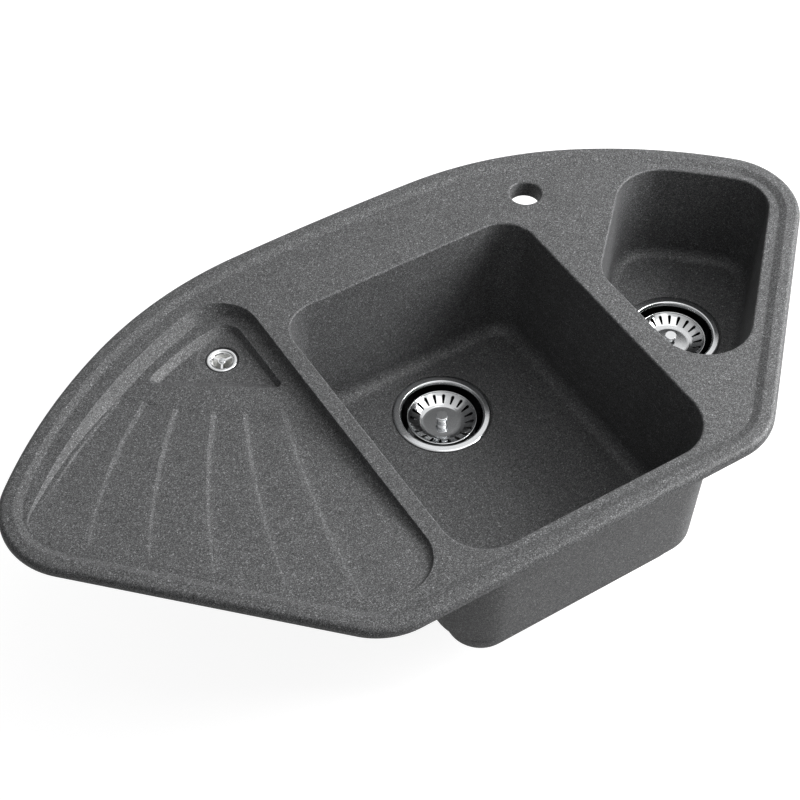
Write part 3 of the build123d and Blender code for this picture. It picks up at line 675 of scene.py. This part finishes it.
def flute_rows():
    """Points in rows along and across the flutes, and the closed edge of the fan that they fill.

    Across each flute the floor falls from a line by the flute's depth over a narrow step, and rises evenly
    to the next line; both corners are softened and the depth dies away at both ends."""
    share = np.array([0, 0.01, 0.02, 0.032, 0.05, 0.08, *np.linspace(0.12, 0.93, 26),
                      0.955, 0.97, 0.98, 0.99, 1])
    strength = smooth(np.clip(np.minimum(share / FLUTE_ENDS[0], (1 - share) / FLUTE_ENDS[1]), 0, 1))
    lines = [through(line, share) for line in FLUTES]
    points = []
    for number, (line, beyond) in enumerate(zip(lines, lines[1:])):
        depth = through(FLUTE_DEPTHS if number else FIRST_DEPTHS, share) * strength
        step = through(FLUTE_STEPS if number else FIRST_STEPS, share)
        width = np.linalg.norm(beyond - line, axis=1)
        rest = width - step
        rows = [(0 * step, 0.06), (0.25 + 0 * step, 0.16), (0.2 * step + 0.3, None),
                (0.8 * step - 0.2, None), (step, 0.93), (step + 0.7, None)]
        rows += [(step + part * rest, None) for part in (0.15, 0.4, 0.65, 0.87)]
        for across, eased in rows + [(width - 0.7, None)]:
            slope = np.where(across < step, across / step, (width - across) / rest)
            sunk = depth * (slope if eased is None else eased)
            plan = line + (beyond - line) * (across / width)[:, None]
            points.append(on_tray(plan, sunk))
    points.append(on_tray(lines[-1]))
    fan = np.concatenate([lines[0], *[line[-1:] for line in lines[1:-1]], lines[-1][::-1],
                          *[line[:1] for line in lines[-2:0:-1]]])
    return np.concatenate(points), fan


sink = casting().mesh("sink")


# === Wastes ===
BASKET_EDGE, BASKET_SLOTS, SHEET = 38.6, 20, 0.8
CUP_DEPTH, CUP_SHEET = 48.0, 1.0
SHARP_EDGE = 35.0  # degrees, for the pieces that are copied from the CAD


def turned(skin, centre, floor, profile, samples):
    """A surface of revolution about an upright axis, from (radius, height, rounding) corners over a floor.

    A profile that starts and ends on the axis closes there; any other is joined back to its start."""
    line = rounded([(r, floor + h, c) for r, h, c in profile], 20.0, 0.15)
    on_axis = line[0][0] == 0
    rings = skin.sweep(rings_along(centre, samples, line[1:-1] if on_axis else line + line[:1]))
    if on_axis:
        skin.cap(rings[0], centre)
        skin.cap(rings[-1], centre)


def plate(skin, loops, top, bottom, points=None):
    """A plate with holes: the same triangles at two heights, each a function of plan points, and the walls
    of every loop between them."""
    def at(plan, height):
        return raised(plan[:, :2], height(plan[:, :2]))

    for height in (top, bottom):
        skin.fill([at(loop, height) for loop in loops], None if points is None else at(points, height))
    for loop in loops:
        skin.sweep(np.stack([at(loop, top), at(loop, bottom)]))


def strainer_cup(name, centre, floor):
    """Pressed cup: a flange on the bowl's floor, a mouth rolled into a steep wall, a step and a sieve."""
    skin = Skin()
    sieve_edge = 22.3
    profile = [
        (sieve_edge, -CUP_DEPTH, 0), (23.5, -46.8, 0.8), (24.0, -43.6, 0.8), (24.8, -41.8, 1.5),
        (26.5, -41.0, 1.0), (36.5, -41.0, 2.0), (39.9, -40.5, 3.0), (42.9, -37.6, 3.0), (44.0, -34.0, 4.0),
        (45.8, -4.2, 3.0), (46.3, -1.0, 2.0), (48.0, 0.9, 2.0), (54.0, 0.55, 2.5), (55.5, -0.3, 0.4),
        (55.5, -1.0, 0.1), (47.6, -1.0, 0.3), (46.9, -3.0, 1.0), (45.0, -34.2, 3.0), (43.5, -38.6, 3.0),
        (40.2, -41.5, 3.0), (36.8, -42.0, 2.0), (26.8, -42.0, 1.0), (25.6, -42.6, 0.8), (25.0, -43.8, 0.8),
        (24.4, -47.4, 0.8), (sieve_edge, -CUP_DEPTH - CUP_SHEET, 0),
    ]
    line = rounded([(r, floor + h, c) for r, h, c in profile], 15.0, 0.2)
    skin.sweep(rings_along(centre, 160, line))
    holes = [circle(centre, sieve_edge, 160, 0), circle(centre, 3.2, 32, 0)]
    for count, reach, radius in ((6, 10.5, 2.3), (12, 17.5, 2.5)):
        holes += [circle(middle, radius, 20, 0) for middle in centre + reach * full_turn(count)]
    plate(skin, holes, lambda plan: floor - CUP_DEPTH, lambda plan: floor - CUP_DEPTH - CUP_SHEET)
    return skin.mesh(name)


def dish_height(centre, floor):
    """Height of the basket's sheet by the distance from its axis: flat, then a rising slope to the rim."""
    radii = [0.0, 22.4, 23.4, 25.0, 29.5, 34.5, BASKET_EDGE]
    heights = [-15.0, -15.0, -14.6, -14.4, -12.6, -10.1, -7.2]
    return lambda plan: floor + np.interp(np.hypot(*(plan - centre).T), radii, heights)


def basket(name, centre, floor):
    """Lift-out basket: a sheet dish with a ring of slots that widen outwards, and a rolled rim."""
    skin = Skin()
    height = dish_height(centre, floor)
    loops = [circle(centre, BASKET_EDGE, 160, 0), circle(centre, 4.05, 48, 0)]
    half_turn = unit(np.radians(np.linspace(-90, 90, 5)))
    slot = np.concatenate([[34.8, 0] + half_turn * [1.5, 1.95], [27.2, 0] - half_turn * [0.8, 1.0]])
    for angle in np.arange(BASKET_SLOTS) * 2 * math.pi / BASKET_SLOTS:
        plan = centre + slot[:, :1] * unit(angle) + slot[:, 1:] * unit(angle + math.pi / 2)
        loops.append(raised(plan, 0))
    sheet = [circle(centre, radius, 80, 0) for radius in (8, 14, 19, 22, 22.8, 23.6, 24.6, 25.4, 37.4)]
    ribs = full_turn(BASKET_SLOTS, 0.5)
    sheet += [raised(centre + ribs * radius, 0) for radius in (27, 29, 31.5, 34, 36)]
    plate(skin, loops, height, lambda plan: height(plan) - SHEET, np.concatenate(sheet))
    bead = [(38.9 + 0.9 * out, floor - 7.1 + 0.9 * up) for out, up in full_turn(16)]
    skin.sweep(rings_along(centre, 160, bead + bead[:1]))
    return skin.mesh(name, 50.0)


def basket_post(name, centre, floor):
    """Post with a round knob, turned in one piece."""
    skin = Skin()
    turned(skin, centre, floor, [
        (0, -3.4, 0), (6.6, -3.4, 0.9), (7.05, -4.3, 0.5), (7.05, -5.2, 0.5), (6.3, -6.0, 0.5),
        (5.6, -6.3, 0.4), (5.3, -10.0, 3.0), (5.8, -14.95, 0.2), (4.0, -14.95, 0.1), (4.0, -37.2, 0.2),
        (2.4, -37.2, 0.1), (2.4, -44.2, 0.4), (0, -44.2, 0),
    ], 64)
    return skin.mesh(name)


def block(skin, corners, bottom, top):
    """A closed bar between two heights over four plan corners."""
    for row in skin.sweep(np.stack([raised(corners, height) for height in (bottom, top)])):
        skin.add(row, np.array([[0, 1, 2, 3]]))


def grate(name):
    """The drainer's grate: a turned ring, three spokes and a round hub over the waste's bore."""
    skin = Skin()
    floor, hub, end, half_width = POCKET_FLOOR, 4.0, 11.2, 1.2
    turned(skin, TRAY_DRAIN, floor, [
        (16.2, -1.7, 0.2), (16.2, -0.5, 0.6), (14.6, 0.25, 2.0), (12.7, -0.5, 0.8), (12.1, -1.3, 0.5),
        (11.1, -1.7, 0.3), (10.8, -3.0, 0.2), (12.1, -3.4, 0.2), (12.1, -1.9, 0.2)], 96)
    turned(skin, TRAY_DRAIN, floor, [
        (2.05, -1.8, 0.1), (2.05, -3.4, 0.1), (4.3, -3.4, 0.3), (4.3, -1.8, 0.5)], 48)
    for angle in np.radians([0, 120, 240]):
        out, across = unit(angle), unit(angle + math.pi / 2)
        corners = [TRAY_DRAIN + out * reach + across * aside for reach, aside in
                   ((hub, -half_width), (end, -half_width), (end, half_width), (hub, half_width))]
        block(skin, corners, floor - 3.2, floor - 2.2)
    return skin.mesh(name)


def softened(node, width):
    """A smooth copy of a CAD piece, its edges rounded by a width in millimetres."""
    piece = closed_piece(node + "_soft", frame["nodes"][node].data.copy(), SHARP_EDGE)
    bevel = piece.modifiers.new("edges", "BEVEL")
    bevel.width, bevel.segments, bevel.limit_method = width * MM, 2, "ANGLE"
    bevel.angle_limit = math.radians(SHARP_EDGE)
    bevel.harden_normals = True
    return piece


# === Materials ===
def add_node(tree, kind, inputs, **settings):
    """A node of a kind, its inputs given by name or number as values or as other nodes' outputs."""
    made = tree.nodes.new("ShaderNode" + kind)
    for setting, value in settings.items():
        setattr(made, setting, value)
    for key, value in inputs.items():
        if isinstance(value, bpy.types.NodeSocket):
            tree.links.new(value, made.inputs[key])
        else:
            made.inputs[key].default_value = value
    return made


class Finish:
    """A material, with short ways to add nodes to it and to join them."""

    def __init__(self, name, **sockets):
        self.material = bpy.data.materials.new(name)
        self.material.use_nodes = True
        self.tree = self.material.node_tree
        self.shader = self.tree.nodes["Principled BSDF"]
        for socket, value in sockets.items():
            self.shader.inputs[socket.replace("_", " ")].default_value = value
        self.place = self.node("TexCoord", {}).outputs["Object"]

    def node(self, kind, inputs, **settings):
        return add_node(self.tree, kind, inputs, **settings)

    def product(self, first, second):
        """Two colours or vectors multiplied one channel at a time."""
        return self.node("VectorMath", {0: first, 1: second}, operation="MULTIPLY").outputs[0]

    def ramp(self, value, stops):
        """Grey levels between (position, level) stops."""
        made = self.node("ValToRGB", {0: value})
        band = made.color_ramp
        while len(band.elements) < len(stops):
            band.elements.new(0.5)
        for element, (position, grey) in zip(band.elements, stops):
            element.position = position
            element.color = (grey, grey, grey, 1.0)
        return made.outputs[0]

    def noise(self, scale, detail):
        """Noise at a number of features per metre."""
        return self.node("TexNoise", {"Vector": self.place, "Scale": scale, "Detail": detail}).outputs[0]

    def span(self, value, low, high, at_low, at_high):
        """A value that runs evenly between two levels while the given one goes from low to high."""
        return self.node("MapRange", {0: value, 1: low, 2: high, 3: at_low, 4: at_high}).outputs[0]

    def grains(self, scale):
        """A random level for each cell of a fine cracked pattern."""
        cells = self.node("TexVoronoi", {"Vector": self.place, "Scale": scale})
        return self.node("SeparateColor", {0: cells.outputs["Color"]}).outputs[0]

    def bump(self, height, strength, distance):
        """Relief over the whole piece, its distance in metres."""
        made = self.node("Bump", {"Height": height, "Strength": strength, "Distance": distance})
        self.drive("Normal", made.outputs[0])

    def drive(self, socket, value):
        self.tree.links.new(value, self.shader.inputs[socket])


def granite():
    """Cast quartz composite: dark grey binder with black and pale grains about a millimetre wide."""
    finish = Finish("granite", Roughness=0.5, Metallic=0.0, Specular_IOR_Level=0.38)
    fine = finish.ramp(finish.grains(1500.0), [
        (0.0, 0.024), (0.22, 0.050), (0.5, 0.085), (0.78, 0.128), (1.0, 0.22)])
    coarse = finish.ramp(finish.grains(820.0), [
        (0.0, 0.50), (0.12, 0.82), (0.85, 1.03), (0.93, 1.35), (1.0, 2.0)])
    cloud = finish.ramp(finish.noise(28.0, 3.0), [(0.3, 0.94), (0.7, 1.06)])
    mixed = finish.product(finish.product(fine, coarse), cloud)
    finish.drive("Base Color", finish.product(mixed, GRANITE_TINT))
    finish.bump(finish.noise(1400.0, 3.0), 0.35, 0.00012)
    return finish.material


def metal(name, colour, roughness, axis=None, shaded_below=None):
    """Bright metal; round an axis it has fine turned rings, elsewhere a faint grain.

    Under the height shaded_below the colour darkens towards black: painted shade standing in for the shadow
    inside a cup, not a duller finish."""
    shaded_level, fade = 0.16, 2.5
    finish = Finish(name, Base_Color=(*colour, 1.0), Metallic=1.0, Roughness=roughness)
    if shaded_below is not None:
        # Painted shade: below the given height the base colour is darkened, for the shadow inside the cup.
        height = finish.node("SeparateXYZ", {0: finish.place}).outputs[2]
        shade = finish.span(height, (shaded_below - fade) * MM, shaded_below * MM, shaded_level, 1.0)
        finish.drive("Base Color", finish.product(shade, colour))
    if axis:
        centre = (axis[0] * MM, axis[1] * MM, 0.0)
        away = finish.node("VectorMath", {0: finish.place, 1: centre}, operation="SUBTRACT").outputs[0]
        level = finish.product(away, (1.0, 1.0, 0.0))
        reach = finish.node("VectorMath", {0: level}, operation="LENGTH").outputs["Value"]
        rings = {"W": reach, "Scale": 3500.0, "Detail": 2.0}
        grain = finish.node("TexNoise", rings, noise_dimensions="1D").outputs[0]
    else:
        grain = finish.noise(900.0, 3.0)
    finish.bump(grain, 0.10, 0.00003)
    wear = finish.span(finish.noise(60.0, 4.0), 0.3, 0.7, roughness * 0.8, roughness * 1.3)
    finish.drive("Roughness", wear)
    return finish.material


def moulded(name, colour, roughness, grain=2500.0, relief=0.00002):
    """Moulded plastic, rubber or foam: one colour, a little cloudy, with a fine grain."""
    finish = Finish(name, Base_Color=(*colour, 1.0), Roughness=roughness)
    cloud = finish.ramp(finish.noise(70.0, 3.0), [(0.3, 0.93), (0.7, 1.05)])
    finish.drive("Base Color", finish.product(cloud, colour))
    finish.bump(finish.noise(grain, 2.0), 0.4, relief)
    return finish.material


GRANITE_TINT, STEEL = (1.0, 1.01, 1.03), (0.72, 0.73, 0.74)
PAINTED_SHADE_DEPTH = 0.8  # how far down the cups' mouths the painted shade starts; below it the steel's colour is darkened to stand in for the shadow inside
materials = {
    "granite": granite(),
    "foam": moulded("foam", (0.05, 0.05, 0.052), 0.9, 1200.0, 0.0002),
    "chrome": metal("chrome", (0.8, 0.81, 0.82), 0.07),
    "steel_screw": metal("steel_screw", (0.62, 0.63, 0.64), 0.25),
    "black_plastic": moulded("black_plastic", (0.03, 0.03, 0.032), 0.4),
    "white_plastic": moulded("white_plastic", (0.83, 0.83, 0.81), 0.42),
    "black_rubber": moulded("black_rubber", (0.035, 0.035, 0.036), 0.65),
    "brass": metal("brass", (0.74, 0.58, 0.3), 0.3),
    "zinc_steel": metal("zinc_steel", (0.66, 0.67, 0.69), 0.32),
}
for which, centre, floor in BOWLS:
    cup, dish = which + "_cup", which + "_basket"
    # Each cup's steel is painted darker below its mouth: painted shade for the shadow inside it.
    materials[cup] = metal(cup + "_steel", STEEL, 0.16, centre, floor - PAINTED_SHADE_DEPTH)
    materials[dish] = metal(dish + "_steel", STEEL, 0.13, centre)


def dress(piece, slot):
    """Gives a piece its material: the steel of a waste is turned round its own axis."""
    name = slot
    if slot == "polished_steel":
        name = "main_" if "main" in piece.name else "small_"
        name += "basket" if "basket" in piece.name else "cup"
    piece.data.materials.clear()
    piece.data.materials.append(materials[name])


record_slots = {part["node"]: part["material_slot"] for part in frame["record"]["subparts"]}
bodies = frame["record"]["behaviour"]["bodies"]
body_of_node = {node: body for body, nodes in bodies.items() for node in nodes}
for node, thing in frame["nodes"].items():
    dress(thing, record_slots[node])


def stands_for(piece, node):
    """Gives a finished piece the material and the body of the CAD node that it stands for."""
    slot = record_slots[node]
    dress(piece, slot)
    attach(piece, body_of_node[node])
    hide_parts(node)


stands_for(sink, "sink_body")
for which, centre, floor in BOWLS:
    stands_for(strainer_cup(which + "_cup", centre, floor), which + "_strainer_cup")
    stands_for(basket(which + "_lift_out_basket", centre, floor), which + "_basket")
    stands_for(basket_post(which + "_post_and_knob", centre, floor), which + "_basket_post")
stands_for(grate("round_grate"), "drainer_grate")
stands_for(softened("grate_screw", 0.15), "grate_screw")
for node in frame["nodes"]:
    if node.startswith("clip_") or node.endswith(("_waste_body", "_fixing_screw", "_stopper", "_nut")):
        stands_for(softened(node, 0.25), node)


# === Floor, light and background ===
WHITE = (1.0, 1.0, 1.0, 1.0)
FLOOR_HEIGHT, FLOOR_HALF = -0.2502, 6.0  # in metres
FLOOR_GLOW, FLOOR_MIRRORED = 0.88, 0.45  # as the camera sees it, and in reflections
BRIGHT_SIDE = (0.94, -0.12, 0.32)
# Levels away from and towards the bright side: the cosines where they begin and end, then both strengths.
WORLD_LIGHT, WORLD_MIRRORED = (-0.8, 0.9, 0.06, 0.60), (-0.7, 0.45, 0.12, 1.0)


def arithmetic(tree, operation, first, second):
    """The output of a sum on two numbers or outputs."""
    return add_node(tree, "Math", {0: first, 1: second}, operation=operation).outputs[0]


def ray_kinds(tree):
    """Whether a ray comes from the camera, and whether it was mirrored or let through."""
    rays = add_node(tree, "LightPath", {}).outputs
    mirrored = arithmetic(tree, "MAXIMUM", rays["Is Glossy Ray"], rays["Is Transmission Ray"])
    return rays["Is Camera Ray"], mirrored


def backdrop_floor():
    """Pale floor: near white to the camera, dimmer in reflections, and darker where the sink shades it."""
    data = bpy.data.meshes.new("floor")
    corners = FLOOR_HALF * np.array([(-1, -1), (1, -1), (1, 1), (-1, 1)])
    data.from_pydata(raised(corners, FLOOR_HEIGHT), [], [(0, 1, 2, 3)])
    floor = bpy.data.objects.new("floor", data)
    scene.collection.objects.link(floor)
    finish = Finish("floor", Base_Color=(0.34, 0.34, 0.34, 1.0), Roughness=0.9, Emission_Color=WHITE)
    camera_ray, mirrored = ray_kinds(finish.tree)
    seen = arithmetic(finish.tree, "MULTIPLY", camera_ray, FLOOR_GLOW)
    mirrored = arithmetic(finish.tree, "MULTIPLY", mirrored, FLOOR_MIRRORED)
    finish.drive("Emission Strength", arithmetic(finish.tree, "MAXIMUM", seen, mirrored))
    data.materials.append(finish.material)


def soft_light(name, place, target, size, watts):
    """A square area light at a place in metres, turned towards a target."""
    data = bpy.data.lights.new(name, "AREA")
    data.size, data.energy = size, watts
    lamp = bpy.data.objects.new(name, data)
    lamp.location = place
    lamp.rotation_euler = (Vector(target) - Vector(place)).to_track_quat("-Z", "Y").to_euler()
    scene.collection.objects.link(lamp)


def world_light():
    """White to the camera; else brightest from the right, a little to the front and above."""
    world = bpy.data.worlds.new("studio")
    scene.world = world
    world.use_nodes = True
    tree = world.node_tree
    sides = {0: add_node(tree, "TexCoord", {}).outputs["Generated"], 1: BRIGHT_SIDE}
    toward = add_node(tree, "VectorMath", sides, operation="DOT_PRODUCT").outputs["Value"]
    light, shine = [add_node(tree, "MapRange", {0: toward, **dict(enumerate(span, 1))}).outputs[0]
                    for span in (WORLD_LIGHT, WORLD_MIRRORED)]
    camera_ray, mirrored = ray_kinds(tree)
    shine = arithmetic(tree, "MULTIPLY", shine, mirrored)
    light = arithmetic(tree, "MULTIPLY", light, arithmetic(tree, "SUBTRACT", 1.0, mirrored))
    strength = arithmetic(tree, "MAXIMUM", arithmetic(tree, "ADD", shine, light), camera_ray)
    background = tree.nodes["Background"].inputs
    tree.links.new(strength, background["Strength"])
    background["Color"].default_value = WHITE


backdrop_floor()
world_light()
soft_light("key", place=(1.65, -0.40, 1.05), target=(0.0, 0.25, 0.0), size=1.3, watts=74.0)
soft_light("top", place=(0.5, -0.2, 2.3), target=(0.1, 0.25, 0.0), size=1.6, watts=6.0)

# === Camera ===
# The camera stands above and to the front left of the sink, and looks down and to the right.
CAMERA_PLACE = (-0.671684, -0.744630, 1.352161)
LOOKS_DOWN, LOOKS_RIGHT = 49.515, 31.864  # degrees
camera_data = bpy.data.cameras.new("camera")
camera_data.sensor_width, camera_data.lens = 36.0, 78.636
camera = bpy.data.objects.new("camera", camera_data)
camera.location = CAMERA_PLACE
camera.rotation_euler = (math.radians(90.0 - LOOKS_DOWN), 0.0, math.radians(-LOOKS_RIGHT))
scene.collection.objects.link(camera)
scene.camera = camera
